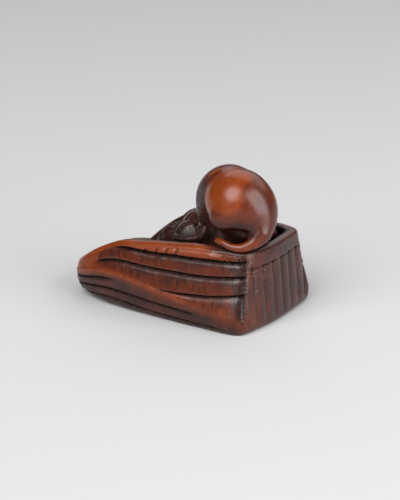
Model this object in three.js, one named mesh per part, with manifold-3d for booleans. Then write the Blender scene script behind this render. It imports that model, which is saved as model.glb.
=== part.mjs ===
// Netsuke: a rat crouching on the rim of a woven winnowing basket, carved from one block of boxwood.
// Millimetres, +Z up. The basket's low front lip faces -X and its high back wall faces +X.
// The rat's left side shows on the -Y side, where its feet hold the near rim.
import * as THREE from "three";
import { mergeVertices } from "three/addons/utils/BufferGeometryUtils.js";
import Module from "manifold-3d";

const wasm = await Module();
wasm.setup();

// ---- basket sizes -------------------------------------------------------------------------------
const FRONT_REACH = 26.4; // from the widest part of the plan forward to the lip
const BACK_REACH = 22.8; // and back to the high wall
const HALF_WIDTH = 15.2;
const FRONT_SQUARENESS = 4.8; // superellipse power of the plan: higher is squarer
const BACK_SQUARENESS = 13;
const BACK_BOW = 1.8; // how far the middle of the back wall stands out from its near corner
const FAR_BACK_BOW = 0.7; // and from its far corner
const SIDE_BOW = 0.5;
const BACK_WALL_FROM = [0.96, 0.99]; // share of the back reach over which side wall turns to back wall
const RIM_HEIGHT = 18; // rim above the ground, along the back half
const LIP_HEIGHT = 6.9; // rim at the front lip
const WALL_FULL_AT = 5; // place along the basket where the walls reach full height
const WALL_CLIMB_POWER = 2.5; // 1 is a straight climb from the lip, higher climbs sooner
const FAR_WALL_LAG = 5; // the far wall starts to climb this much further back than the near one
const RIM_DIP = 0.8; // how far the rim sags where its climb slackens
const DIP_STARTS = [-13, -5]; // places along the basket over which the sag grows in
const DIP_ENDS = [-1, 11]; // and dies away
const SIDE_LEAN = 4.8; // how far a side wall leans in on its way up
const BACK_LEAN = 1.6;
const WALL = 2.4; // thickness of the wall at its rim
const RIM_ROUNDNESS = 0.8; // height of the rim's round top, as a share of half the wall
const ROLL_SWELL = 0.72; // how far the side walls' rim stands out as a roll
const ROLL_FULL_AT = 0.36; // height of the roll's fullest place, as a share of the topmost band
const ROLL_TOP_SHARE = 0.35; // how much of the swell is left at the rim's shoulder
const ROLL_GROWS = [-16, -8]; // place along the basket over which the roll grows in from the lip
const ROLL_FADES = [12, 15.5]; // and dies away under the hind foot
const ROLL_FADE_SHARE = 0.75;
const FLOOR_TOP = 6; // the basket's floor inside
const LIP_DEPTH = 1.6; // least depth of the floor below the rim
const FLOOR_EDGE = 0.9; // share of the way out at which the floor starts to rise to meet the wall
const KEEL_RISE = 1.1; // how far the underside lifts off the ground at the front
const KEEL_FLAT_FROM = 0.45; // share of the length past which the underside is flat on the ground
const KEEL_CURVE = 1.5; // 1 is a plain blend from lip to flat, higher levels off sooner
const KEEL_RINGS = [0, 0.6, 1]; // rings of the underside, as shares of the way out
const UNDERCUT_FRONT = 2.6; // how far the fold stands out past the underside, at the lip
const UNDERCUT_BACK = 1.3;
const UNDERCUT_POWER = 3; // 2 is a quarter ellipse, higher is blunter

// Heights of the weave's edges at five even stations from the lip to the back wall. Each band
// between two edges overlaps the one below it, like a shingle, by its own step.
const WEAVE_EDGES = [
  { heights: [1.4, 2.6, 1.75, 1.45, 1.3], step: 0.2 },
  { heights: [3.2, 4.75, 4.1, 3.35, 2.2], step: 0.28 },
  { heights: [4.6, 7.0, 6.0, 4.3, 2.8], step: 0.28 },
  { heights: [5.6, 8.4, 7.05, 5.1, 3.3], step: 0, fold: true },
  { heights: [6.0, 8.9, 7.3, 7.75, 9.4], step: 0.42 },
  { heights: [6.3, 11.2, 11.5, 11.85, 13.1], step: 0.48 },
  { heights: [6.5, 13.8, 14.7, 15.35, 16.0], step: 0.5 },
];
const FOLD = WEAVE_EDGES.findIndex((edge) => edge.fold);
const STEP_HEIGHT = 0.3; // height over which one band gives way to the next
const STEP_GROWS = [0.02, 0.16]; // share of the length over which a step above the fold grows in
const TOP_GAP = 0.2; // least height between the topmost edge and the rim's round top
const EDGE_GAP = 0.45; // least height between two edges, where they crowd together at the lip

// ---- rat sizes ----------------------------------------------------------------------------------
// Balls, each a centre and its radius or radii, with how finely it is faceted.
const BODY = [
  { name: "rump", centre: [15, -2.2, 23.6], radii: [6.4, 6.6, 6.3], detail: 20 },
  { name: "near haunch", centre: [14.2, -4.6, 26.9], radii: 7.27, detail: 26 },
  { name: "near haunch, back", centre: [16.1, -4.3, 25.6], radii: 6.6, detail: 20 },
  { name: "near haunch, low", centre: [18.3, -4.55, 24], radii: 4.8, detail: 16 },
  { name: "near knee", centre: [13.4, -9, 25.2], radii: 3.3, detail: 14 },
  { name: "far haunch", centre: [10.4, 3.2, 24], radii: [6.2, 5.4, 6.2], detail: 16 },
  { name: "shoulders", centre: [11.1, -2.7, 28.3], radii: 5.8, detail: 18 },
  { name: "chest, high", centre: [8.4, -0.2, 25.9], radii: 6.8, detail: 20 },
  { name: "chest, low", centre: [7.5, -0.1, 22.6], radii: 6, detail: 16 },
  { name: "neck", centre: [6, -0.4, 18.9], radii: 4.8, detail: 14 },
  { name: "belly, down to the basket's floor", centre: [10, -0.5, 15], radii: [6.8, 6.2, 11.5], detail: 14 },
  { name: "breast, down to the basket's floor", centre: [3, -2.6, 13.5], radii: [4.2, 4.2, 9.2], detail: 12 },
];
// The hollow under the near haunch, behind the foot: an ellipsoid, turned about the upright.
const FOOT_SCOOP = {
  centre: [16.15, -10.86, 21.24],
  radii: [4.4, 3.3, 1.5],
  turn: [0, 0, 0.576],
  detail: 16,
};
// Limbs: paths run from the body outwards, each with the form's radius at even steps along it.
const LIMBS = [
  {
    name: "head",
    path: [[4.8, -2.2, 16.2], [1.7, -3.5, 15.9], [-0.4, -4.4, 16], [-2.2, -5.05, 15.8], [-4.9, -6, 14.5]],
    radii: [3.9, 4, 3.7, 2.9, 1.3],
    sides: 16,
  },
  {
    name: "near hind foot",
    path: [[20.5, -6.3, 21.6], [20.2, -8.2, 19.9], [18.6, -10.2, 19], [16.4, -11, 18.9], [12.7, -10.8, 19.6]],
    radii: [2.6, 1.5, 1, 0.85, 0.7],
    sides: 12,
  },
  {
    name: "near foreleg",
    path: [[7.4, -7.5, 20.4], [6.9, -8, 19], [5.6, -8.6, 18.2], [3.4, -9.2, 17.7], [0.9, -9.4, 17.6]],
    radii: [0.7, 0.8, 0.65, 0.6, 0.5],
    sides: 8,
  },
  {
    name: "far hind foot",
    path: [[13, 5.5, 20.5], [12.5, 8.6, 18.9], [8, 9.8, 18.5]],
    radii: [2.6, 1.3, 0.8],
    sides: 8,
  },
  {
    name: "far foreleg",
    path: [[5, 2, 19], [1.5, 6, 17.6], [-1.5, 9.6, 17.4]],
    radii: [2.4, 1.2, 0.8],
    sides: 8,
  },
  {
    name: "tail",
    path: [
      [17, 2, 18.5],
      [15.5, 7, 16.4],
      [10.5, 8.4, 15.2],
      [4, 8.2, 13.5],
      [-1.5, 7.9, 10.5],
      [-5, 6.6, 7.5],
    ],
    radii: [1.6, 1.3, 1.1, 1, 0.8, 0.6],
    sides: 8,
  },
];
// Round flat ears: from base to tip, the way the open side faces, and half the width.
const EARS = [
  {
    name: "near ear",
    base: [5.6, -6.4, 18.6],
    tip: [-0.3, -8.7, 17.4],
    facing: [0.3, -0.91, 0.3],
    halfWidth: 3.3,
  },
  {
    name: "far ear",
    base: [3.9, 1, 17.75],
    tip: [-3.4, -1.3, 17.5],
    facing: [0.26, -0.86, 0.43],
    halfWidth: 4,
  },
];
const EAR_THICKNESS = 0.85; // from the middle plane to either face
const EAR_DETAIL = 14;

// ---- cord tunnel sizes --------------------------------------------------------------------------
const CORD_HOLES_X = 1;
const CORD_HOLE_SPACING = 9;
const CORD_HOLE_RADIUS = 1.3;
const KNOT_HOLE_RADIUS = 1.8; // the larger hole takes the cord's knot
const CORD_TUNNEL_HEIGHT = 2.6; // middle of the tunnel at its highest, above the underside
const CORD_HOLE_FLARE = 0.4; // how far each hole leans out on its way down
const CORD_TUNNEL_TURN = 1; // height at which the tunnel turns in under the floor
const CORD_CUT_BELOW = 2; // how far the cutting form starts below the underside
const CORD_TUNNEL_SIDES = 12;

// ---- fineness -----------------------------------------------------------------------------------
const GIRTH_STEPS = 78;
const CORNER_WEIGHT = 9; // millimetres of outline that a radian of turning counts for
const OUTLINE_STEPS = 7200; // fine steps used to measure the outline
const RIM_STEPS = 4;
const CAP_RINGS = 3;
const LIMB_STEPS = 14;
const BALL_ROWS = 0.6; // rows of a ball from pole to pole, as a share of its columns
const SAME_POINT = 1e-4; // points closer than this are one

// ---- small helpers ------------------------------------------------------------------------------
const clamp01 = (t) => Math.min(1, Math.max(0, t));
const mix = (a, b, t) => a + (b - a) * t;
const v = (x, y, z) => new THREE.Vector3(x, y, z);
function smooth(lo, hi, value) {
  const t = clamp01((value - lo) / (hi - lo));
  return t * t * (3 - 2 * t);
}

// A smooth line through evenly spaced values, read at t from 0 to 1.
function throughValues(values, t) {
  const last = values.length - 1;
  const i = Math.min(Math.floor(t * last), last - 1);
  const f = t * last - i;
  const [a, b, c, d] = [values[Math.max(i - 1, 0)], values[i], values[i + 1], values[Math.min(i + 2, last)]];
  return b + 0.5 * f * (c - a + f * (2 * a - 5 * b + 4 * c - d + f * (3 * (b - c) + d - a)));
}

// ---- basket -------------------------------------------------------------------------------------
// Plan direction for an angle: along is -1 at the lip and 1 at the back, across is -1 near, 1 far.
function planDirection(angle) {
  const c = Math.cos(angle);
  const s = Math.sin(angle);
  const power = c > 0 ? BACK_SQUARENESS : FRONT_SQUARENESS;
  const reach = (Math.abs(c) ** power + Math.abs(s) ** power) ** (-1 / power);
  return { along: c * reach, across: s * reach };
}

// Point of the plan, moved in from the widest outline by one amount at the sides, one at the ends.
function planPoint({ along, across }, sideInset = 0, endInset = 0) {
  const bow = along > 0 ? mix(BACK_BOW, FAR_BACK_BOW, smooth(0, 1, across)) * across * across : 0;
  const reach = along > 0 ? BACK_REACH - bow : FRONT_REACH;
  const halfWidth = HALF_WIDTH - SIDE_BOW * along ** 2;
  return new THREE.Vector2(along * (reach - endInset), across * (halfWidth - sideInset));
}

const station = (x) => clamp01((x + FRONT_REACH) / (FRONT_REACH + BACK_REACH)); // 0 at lip, 1 at back
const keelHeight = (x) => KEEL_RISE * (1 - smooth(0, KEEL_FLAT_FROM, station(x))) ** KEEL_CURVE;
const rollShare = (x) => smooth(...ROLL_GROWS, x) * (1 - ROLL_FADE_SHARE * smooth(...ROLL_FADES, x));

function rimHeight(x, across) {
  const lag = FAR_WALL_LAG * smooth(-0.5, 0.5, across);
  const climb = clamp01((x + FRONT_REACH - lag) / (WALL_FULL_AT + FRONT_REACH - lag));
  const dip = RIM_DIP * smooth(...DIP_STARTS, x) * (1 - smooth(...DIP_ENDS, x));
  return mix(LIP_HEIGHT, RIM_HEIGHT, 1 - (1 - climb) ** WALL_CLIMB_POWER) - dip;
}

// The basket's section at one plan direction: from the middle of the underside out, up the wall,
// over the rim and down inside to the middle of the floor.
function basketSection(direction) {
  const x = planPoint(direction).x;
  const t = station(x);
  const keel = keelHeight(x);
  const rim = rimHeight(x, direction.across);
  const roll = WALL / 2;
  const shoulder = rim - RIM_ROUNDNESS * roll;
  const onSide = 1 - smooth(...BACK_WALL_FROM, direction.along);
  const edges = WEAVE_EDGES.map(({ heights, step }, i) => ({
    height: Math.min(throughValues(heights, t), shoulder - TOP_GAP - EDGE_GAP * (WEAVE_EDGES.length - i)),
    step: step * onSide * (i > FOLD ? smooth(...STEP_GROWS, t) : 1),
  }));
  const fold = edges[FOLD].height;
  const undercut = mix(UNDERCUT_FRONT, UNDERCUT_BACK, t);
  const height = clamp01((rim - fold) / RIM_HEIGHT);
  const sideLean = SIDE_LEAN * height;
  const backLean = BACK_LEAN * height;
  const wallPoint = (z, proud) => {
    const below = clamp01((fold - z) / (fold - keel));
    const above = clamp01((z - fold) / (shoulder - fold));
    const tuck = undercut * (1 - (1 - below ** UNDERCUT_POWER) ** (1 / UNDERCUT_POWER)) - proud;
    const p = planPoint(direction, sideLean * above + tuck, backLean * above + tuck);
    return v(p.x, p.y, z);
  };

  const sole = wallPoint(keel, 0);
  const points = KEEL_RINGS.map((share) => v(sole.x * share, sole.y * share, keelHeight(sole.x * share)));
  edges.forEach(({ height: z, step }) => {
    points.push(wallPoint(z - STEP_HEIGHT / 2, -step));
    points.push(wallPoint(z + STEP_HEIGHT / 2, 0));
  });
  const swell = ROLL_SWELL * rollShare(x) * onSide;
  points.push(wallPoint(mix(edges.at(-1).height, shoulder, ROLL_FULL_AT), swell));
  for (let i = 0; i <= RIM_STEPS; i++) {
    const turn = (i / RIM_STEPS) * Math.PI;
    const inset = roll * (1 - Math.cos(turn));
    const sideInset = sideLean + inset - swell * ROLL_TOP_SHARE * Math.max(0, Math.cos(turn));
    const p = planPoint(direction, sideInset, backLean + inset);
    points.push(v(p.x, p.y, shoulder + RIM_ROUNDNESS * roll * Math.sin(turn)));
  }
  const foot = planPoint(direction, sideLean / 2 + WALL, WALL);
  const lowFloor = Math.min(FLOOR_TOP, LIP_HEIGHT - LIP_DEPTH);
  points.push(v(foot.x, foot.y, Math.min(FLOOR_TOP, rim - LIP_DEPTH)));
  points.push(v(foot.x * FLOOR_EDGE, foot.y * FLOOR_EDGE, lowFloor));
  points.push(v(0, 0, lowFloor));
  return points;
}

// Angles round the plan, closer together where the outline turns.
function girthAngles() {
  const fine = OUTLINE_STEPS;
  const angleAt = (i) => (i / fine) * 2 * Math.PI;
  const outline = Array.from({ length: fine + 2 }, (_, i) => planPoint(planDirection(angleAt(i))));
  const measure = [0];
  for (let i = 1; i <= fine; i++) {
    const step = outline[i].clone().sub(outline[i - 1]);
    const next = outline[i + 1].clone().sub(outline[i]);
    const turn = Math.abs(Math.atan2(step.cross(next), step.dot(next)));
    measure.push(measure[i - 1] + step.length() + CORNER_WEIGHT * turn);
  }
  const angles = [];
  let i = 0;
  for (let k = 0; k < GIRTH_STEPS; k++) {
    while (measure[i] < (measure[fine] * k) / GIRTH_STEPS) i++;
    angles.push(angleAt(i));
  }
  return angles;
}

// A turned blank with the given rings, each point then moved to its place.
function formedLathe(rings, sides, placeOf) {
  const isPole = (j) => j === 0 || j === rings - 1;
  const profile = Array.from({ length: rings }, (_, j) => new THREE.Vector2(isPole(j) ? 0 : 1, j));
  const lathe = new THREE.LatheGeometry(profile, sides);
  const position = lathe.getAttribute("position");
  for (let i = 0; i <= sides; i++) {
    for (let j = 0; j < rings; j++) {
      const p = placeOf(i % sides, j);
      position.setXYZ(i * rings + j, p.x, p.y, p.z);
    }
  }
  return lathe;
}

function basketSolid() {
  const sections = girthAngles().map((angle) => basketSection(planDirection(angle)));
  return solidOf(formedLathe(sections[0].length, GIRTH_STEPS, (i, j) => sections[i][j]));
}

// ---- solids -------------------------------------------------------------------------------------
function solidOf(geometry) {
  const bare = new THREE.BufferGeometry();
  bare.setAttribute("position", geometry.getAttribute("position").clone());
  bare.setIndex(geometry.getIndex());
  const merged = mergeVertices(bare, SAME_POINT);
  const index = merged.getIndex().array;
  const kept = [];
  for (let i = 0; i < index.length; i += 3) {
    const [a, b, c] = [index[i], index[i + 1], index[i + 2]];
    if (a !== b && b !== c && c !== a) kept.push(a, b, c);
  }
  const vertProperties = merged.getAttribute("position").array;
  const solidFrom = (triangles) =>
    new wasm.Manifold(new wasm.Mesh({ numProp: 3, vertProperties, triVerts: new Uint32Array(triangles) }));
  const solid = solidFrom(kept);
  return solid.volume() > 0 ? solid : solidFrom(kept.reverse());
}

function ball({ centre, radii, turn = [0, 0, 0], detail }) {
  const sphere = new THREE.SphereGeometry(1, detail, Math.round(detail * BALL_ROWS));
  const facing = new THREE.Quaternion().setFromEuler(new THREE.Euler(...turn));
  const size = Array.isArray(radii) ? v(...radii) : v(radii, radii, radii);
  return solidOf(sphere.applyMatrix4(new THREE.Matrix4().compose(v(...centre), facing, size)));
}

function ear({ base, tip, facing, halfWidth }) {
  const along = v(...tip).sub(v(...base)).divideScalar(2);
  const side = v(...facing).cross(along).setLength(halfWidth);
  const out = along.clone().cross(side).setLength(EAR_THICKNESS);
  const pose = new THREE.Matrix4().makeBasis(along, side, out);
  pose.setPosition(v(...base).add(along));
  const sphere = new THREE.SphereGeometry(1, EAR_DETAIL, Math.round(EAR_DETAIL * BALL_ROWS));
  return solidOf(sphere.applyMatrix4(pose));
}

// A round form along a smooth path, with its own radius at each of the path's points.
function limb({ path: points, radii, sides }) {
  const path = new THREE.CatmullRomCurve3(points.map((p) => v(...p)));
  const frames = path.computeFrenetFrames(LIMB_STEPS);
  const quarter = Math.PI / 2;
  const rings = [];
  for (let k = 0; k <= CAP_RINGS; k++) rings.push({ step: 0, tilt: (k / CAP_RINGS - 1) * quarter });
  for (let k = 1; k < LIMB_STEPS; k++) rings.push({ step: k, tilt: 0 });
  for (let k = 0; k <= CAP_RINGS; k++) rings.push({ step: LIMB_STEPS, tilt: (k / CAP_RINGS) * quarter });
  const tube = formedLathe(rings.length, sides, (i, j) => {
    const { step, tilt } = rings[j];
    const radius = throughValues(radii, step / LIMB_STEPS);
    const out = j === 0 || j === rings.length - 1 ? 0 : radius * Math.cos(tilt);
    const angle = (i / sides) * 2 * Math.PI;
    return path
      .getPoint(step / LIMB_STEPS)
      .addScaledVector(frames.tangents[step], radius * Math.sin(tilt))
      .addScaledVector(frames.normals[step], out * Math.cos(angle))
      .addScaledVector(frames.binormals[step], out * Math.sin(angle));
  });
  return solidOf(tube);
}

// ---- rat ----------------------------------------------------------------------------------------
const together = (whole, solid) => whole.add(solid);
const body = BODY.map(ball).reduce(together).subtract(ball(FOOT_SCOOP));
const rat = [...LIMBS.map(limb), ...EARS.map(ear)].reduce(together, body);

// ---- cord tunnel --------------------------------------------------------------------------------
// Two holes in the underside, joined by a bent tunnel, where the cord is knotted through.
function cordTunnel() {
  const half = CORD_HOLE_SPACING / 2;
  const bend = [
    [CORD_HOLES_X, -half - CORD_HOLE_FLARE, -CORD_CUT_BELOW],
    [CORD_HOLES_X, -half, CORD_TUNNEL_TURN],
    [CORD_HOLES_X, 0, CORD_TUNNEL_HEIGHT],
    [CORD_HOLES_X, half, CORD_TUNNEL_TURN],
    [CORD_HOLES_X, half + CORD_HOLE_FLARE, -CORD_CUT_BELOW],
  ];
  const radii = [KNOT_HOLE_RADIUS, KNOT_HOLE_RADIUS, CORD_HOLE_RADIUS, CORD_HOLE_RADIUS, CORD_HOLE_RADIUS];
  return limb({ path: bend, radii, sides: CORD_TUNNEL_SIDES });
}

const carving = basketSolid().add(rat).subtract(cordTunnel());
const { vertProperties, triVerts } = carving.getMesh();
const surface = new THREE.BufferGeometry();
surface.setAttribute("position", new THREE.BufferAttribute(vertProperties, 3));
surface.setIndex(new THREE.BufferAttribute(triVerts, 1));
surface.computeBoundingBox();
const middle = surface.boundingBox.getCenter(new THREE.Vector3());
surface.translate(-middle.x, -middle.y, -surface.boundingBox.min.z); // origin under the middle of the whole
surface.computeVertexNormals();

const STAIN_BROWN = 0x7a3a1a;
const HAND_POLISH = 0.35;
const stainedBoxwood = new THREE.MeshStandardMaterial({
  color: STAIN_BROWN,
  roughness: HAND_POLISH,
  metalness: 0,
});
const mesh = new THREE.Mesh(surface, stainedBoxwood);
mesh.name = "netsuke";

const netsuke = new THREE.Group();
netsuke.add(mesh);

export default netsuke;
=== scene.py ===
# Netsuke of stained boxwood: a rat crouches on the rim of a woven winnowing basket.
# One carving, one solid. Lengths are in millimetres until the finished mesh is scaled to metres.
# Places and lengths along x are measured from the point about which the basket's plan is drawn.
import itertools
import math
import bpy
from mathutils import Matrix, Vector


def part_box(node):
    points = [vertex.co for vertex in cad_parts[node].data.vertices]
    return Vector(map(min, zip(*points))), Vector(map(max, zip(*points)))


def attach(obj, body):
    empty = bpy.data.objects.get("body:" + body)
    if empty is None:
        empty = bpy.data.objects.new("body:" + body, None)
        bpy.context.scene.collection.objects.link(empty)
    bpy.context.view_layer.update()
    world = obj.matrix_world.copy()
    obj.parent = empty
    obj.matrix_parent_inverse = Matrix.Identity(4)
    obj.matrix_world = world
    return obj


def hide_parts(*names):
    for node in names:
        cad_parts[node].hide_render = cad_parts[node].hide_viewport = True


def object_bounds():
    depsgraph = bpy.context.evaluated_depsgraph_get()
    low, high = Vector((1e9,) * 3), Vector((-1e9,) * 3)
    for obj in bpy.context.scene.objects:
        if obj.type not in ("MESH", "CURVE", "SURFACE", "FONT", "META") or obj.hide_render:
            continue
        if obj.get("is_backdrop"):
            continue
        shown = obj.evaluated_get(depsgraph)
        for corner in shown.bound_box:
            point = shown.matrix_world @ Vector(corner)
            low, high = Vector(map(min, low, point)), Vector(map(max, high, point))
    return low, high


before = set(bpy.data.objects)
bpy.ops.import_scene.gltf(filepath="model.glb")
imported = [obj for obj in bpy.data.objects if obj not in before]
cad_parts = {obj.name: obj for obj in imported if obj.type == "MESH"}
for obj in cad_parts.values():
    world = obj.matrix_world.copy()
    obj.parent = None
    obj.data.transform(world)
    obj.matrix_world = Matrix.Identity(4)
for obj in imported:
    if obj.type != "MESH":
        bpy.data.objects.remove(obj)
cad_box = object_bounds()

from types import SimpleNamespace

import bmesh
import bpy
import numpy as np
from mathutils import Euler, Matrix, Vector, kdtree
from mathutils.bvhtree import BVHTree

MM = 0.001
FULL_TURN = 2 * math.pi

# ---- basket sizes, as in the solid model ----------------------------------------------------------
FRONT_REACH = 26.4
BACK_REACH = 22.8
HALF_WIDTH = 15.2
FRONT_SQUARENESS = 4.8
BACK_SQUARENESS = 13
BACK_BOW = 1.8
FAR_BACK_BOW = 0.7
SIDE_BOW = 0.5
RIM_HEIGHT = 18.0
LIP_HEIGHT = 6.9
WALL_FULL_AT = 5.0
WALL_CLIMB_POWER = 2.5
FAR_WALL_LAG = 5.0
RIM_DIP = 0.8
DIP_STARTS = (-13.0, -5.0)
DIP_ENDS = (-1.0, 11.0)
SIDE_LEAN = 4.8
BACK_LEAN = 1.6
WALL = 2.4
RIM_RADIUS = WALL / 2
RIM_ROUNDNESS = 0.8
FLOOR_TOP = 6.0
FLOOR_BELOW_RIM = 1.6
KEEL_RISE = 1.1
KEEL_FLAT_FROM = 0.45
KEEL_POWER = 1.5
UNDERCUT_FRONT = 2.6
UNDERCUT_BACK = 1.3
UNDERCUT_POWER = 3.0
BACK_FACE = (0.96, 0.99)  # share of the plan's length past which the outline is the back wall
FAR_SIDE = (-0.5, 0.5)
NEAR_SIDE = (0, -0.5)

# Edges of the woven bands from the underside up: heights at five even stations from lip to back,
# the depth of the step under the edge, and the places along the basket between which it fades in
# and out.
WEAVE_EDGES = [
    {"heights": [1.4, 2.6, 1.75, 1.45, 1.3], "step": 0.20, "shows": (-30, -27, 13, 19)},
    {"heights": [3.2, 4.75, 4.1, 3.35, 2.2], "step": 0.28, "shows": (-30, -27, 6, 11)},
    {"heights": [4.6, 7.0, 6.0, 4.3, 2.8], "step": 0.28, "shows": (-30, -27, -15, -10)},
    {"heights": [5.6, 8.4, 7.05, 5.1, 3.3], "step": 0.00, "shows": (-30, -29, 29, 30)},
    {"heights": [6.0, 8.9, 7.3, 7.75, 9.4], "step": 0.42, "shows": (-3, 4, 29, 30)},
    {"heights": [6.3, 11.2, 11.5, 11.85, 13.1], "step": 0.48, "shows": (-18.5, -15, 29, 30)},
    {"heights": [6.5, 13.8, 14.7, 15.35, 16.0], "step": 0.50, "shows": (-14.5, -10, 29, 30)},
]
FOLD = 3
TOP_BAND = len(WEAVE_EDGES)
EDGE_GAP = 0.22
EDGE_CLEARANCE = 0.2
LEAST_BAND = 0.05
STEP_BEVEL = 1.25
STEP_BEVEL_SHARE = 0.55
STEP_GROOVE_DEPTH = 0.2
STEP_GROOVE_WIDTH = 0.22

# Short cuts that hang from each band's upper edge, mostly seen as dark strokes.
TICK_PITCH = 0.62
TICK_WIDTH = 0.13
TICK_DEPTH = 0.02
TICK_EDGE_LOSS = 0.6
TICK_EDGE_WIDTH = 0.4
TICK_WANDER = 0.18
TICK_REACH = (0.25, 0.95)
TICK_FADE = 0.12
TICK_COUNT = 4001
TICKS_START = 40
FAR_TICK_SEED = 100

# The rim's roll on the long walls, with four lashings cut across it.
ROLL_SWELL = 0.72
ROLL_FULL_AT = 0.36
ROLL_GROWS = (-16.0, -8.0)
ROLL_DIES = (12.0, 15.5)
ROLL_LOSS = 0.75
LASHINGS = [-4.4, -1.7, 0.9, 3.4]
LASHING_REACH = [0.55, 0.85, 1.0, 1.0]
LASHING_WIDTH = (0.5, 0.14)
LASHING_SLANT = 0.25
LASHING_FADE = 0.2
LASHING_DEPTH = 0.34

# Upright splints of the back wall, under a plain band at the rim, and the ribs of floor and sole.
RIB_PITCH = 3.42
FIRST_RIB = 12.5
RIB_GROOVE_WIDTH = 0.5
RIB_RISE = 0.30
BACK_GROOVE_DEPTH = 0.10
SOLE_GROOVE_DEPTH = 0.10
FLOOR_GROOVE_DEPTH = 0.16
BACK_BAND_FROM = 14.4
BACK_BAND_FADE = 0.2
BACK_BAND_STEP = 0.22
BACK_CORNERS = (0.93, 0.78)
RIBS_START = (0.9, 3.2)
STITCH_PITCH = 0.82
STITCH_DEPTH = 0.035
INSIDE_SLAT_PITCH = 3.1
INSIDE_SLAT_DEPTH = 0.10
INSIDE_SLOPE_POWER = 1.4

# The upright cut where each side meets its corner post.
CORNER_CUT_X = 20.7
CORNER_CUT_WIDTH = 0.9
CORNER_CUT_DEPTH = 0.12
CORNER_CUT_SIDE = 0.9
CORNER_CUT_TOP = (15, 17)
CORNER_CUT_FOOT = (1.6, 4)

# Slight unevenness of the hand-cut faces: depth, size of the swellings, and seed.
HAND_CUT = [(0.05, 4.0, 1), (0.03, 1.4, 2)]

# ---- basket wear, grime, dark cuts and painted shade: 1 is rubbed to orange, fully dirty, fully dark ---
BAND_WEAR = [0.16, 0.2, 0.22, 0.3, 0.66, 0.42, 0.42, 0.98]  # from the underside to the rim's roll
SOLE_WEAR = 0.25
RIM_WEAR = 0.98
OUTER_RIM_TURN = (2.4, 0.5)  # radians over the rim, from its shoulder outside
INNER_RIM_TURN = (1.5, 2.7)
# Under the hind foot the near rim is less rubbed and dirtier, and so darker: dirt and a painted shadow of the
# foot.
UNDER_HIND_FOOT = (8.5, 16.5)
UNDER_FOOT_WEAR_LOSS_AND_SHADOW = 0.75
BACK_RIM_LOSS = 0.8
FOLD_WEAR = (0.85, 0.6)
FOLD_WEAR_CHANGE = (2.0, 14.0)
FOLD_WEAR_WIDTH = (1.0, 1.7)
TIP_WEAR = 0.9
TIP_WEAR_FROM = (-12, -19)
TIP_WEAR_ABOVE_FOLD = (-0.6, 0.6)
STEP_WEAR_LOSS = 0.3
STEP_WEAR_LOSS_FROM = (0.3, 0.95)
CORNER_WEAR_LOSS = 0.8
CORNER_WEAR_FROM = (17.5, 20.8)
CORNER_WEAR_HEIGHT = (2.0, 6.0)
BACK_WEAR = 0.1
BACK_NEAR_WEAR = 0.2
BACK_NEAR_FROM = (2.0, -11.0)
RIM_DIRT = 0.4
STEP_DIRT = 0.66
EDGE_DIRT = 0.5
EDGE_DIRT_WIDTH = 0.5
ROLL_FOOT_DIRT_AND_SHADOW = 0.3
RIB_DIRT = 0.35
STITCH_DIRT = 0.12
BAND_STEP_DIRT = 0.6
BAND_STEP_DIRT_BELOW = 0.3
BAND_STEP_DIRT_WIDTH = 0.35
CORNER_CUT_DIRT = 0.5
NEAR_CORNER_DIRT_AND_SHADOW = 0.25
NEAR_CORNER_HEIGHT = (13.0, 16.0)
NEAR_CORNER_FROM = (9.0, 18.0)
INSIDE_DIRT = 0.4
SLAT_DIRT = 0.3
SLAT_DIRT_BELOW = -0.4
FLOOR_DIRT = 0.45
FLOOR_GROOVE_DIRT = 0.4
# The rim's inner face and the inside walls are darkened to near black: painted shade inside the basket.
INNER_RIM_PAINTED_SHADE = 0.85
INSIDE_PAINTED_SHADE = 0.75
TICK_DARK = 0.75
EDGE_DARK_WIDTH = 0.26
WOVEN = 0.9
PLAIN = 0.25
WEAVE_FROM = (-24, -15)
WEAVE_ABOVE_EDGE = (0.0, 0.35)

# ---- how finely the basket's skin is made ---------------------------------------------------------
COLUMNS = 700  # vertices round the basket
BAND_ROWS = [5, 9, 9, 7, 9, 22, 20, 18]  # rows of each band, from the underside to the rim's shoulder
FEW_ROWS = 8
ROW_CROWDING = 0.512  # how far a tall band's rows crowd towards its edges
EDGE_ROW = 0.06
EDGE_ROW_SHARE = 0.3
RIM_ROWS = 14
INSIDE_ROWS = 26
FLOOR_ROWS = 14
FLOOR_CORNER = 0.1
UNDER_ROWS = 12
UNDER_ROW_POWER = 0.8
CENTRE_FADE = 0.3
GIRTH_SAMPLES = 14401
MERGE_REACH = 1e-5
WOVEN_SIDES = (0.7, 0.95)
END_DENSITY = 0.7
CORNER_WEIGHT = 12.0
BASKET_TRIANGLES = 112_000
RAT_TRIANGLES = 80_000

# ---- rat sizes: a form along a path is its points and its radius at each ---------------------------
# The near leg: the haunch down to the heel, the knee in front, then the foot forward along the
# basket's rim to the toes.
HAUNCH = (14.2, -4.6, 26.9)
HAUNCH_RADIUS = 7.27
HAUNCH_SWELL = (
    [HAUNCH, [16.1, -4.3, 25.6], [19.0, -4.7, 23.5], [20.5, -6.3, 21.6]],
    [HAUNCH_RADIUS, 6.6, 4.2, 2.6],
)
KNEE = ([HAUNCH, [13.9, -7.6, 25.6], [13.3, -9.4, 24.7]], [7.0, 4.6, 3.2])
NEAR_FOOT = (
    [
        [20.5, -6.3, 21.6],
        [20.2, -8.2, 19.9],
        [18.6, -10.2, 18.95],
        [16.4, -11.0, 18.9],
        [14.2, -11.1, 19.5],
        [12.7, -10.8, 19.6],
    ],
    [2.6, 1.5, 1.0, 0.85, 0.75, 0.7],
)
FOOT_SCOOP = ((16.15, -10.86, 21.24), (4.4, 3.3, 1.5), (0.0, 0.0, 0.576))  # centre, radii, turn
FOOT_HOLLOW = (16.2, -10.4, 21.4)
FOOT_HOLLOW_REACH = (5.4, 4.5, 3.2)
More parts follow.
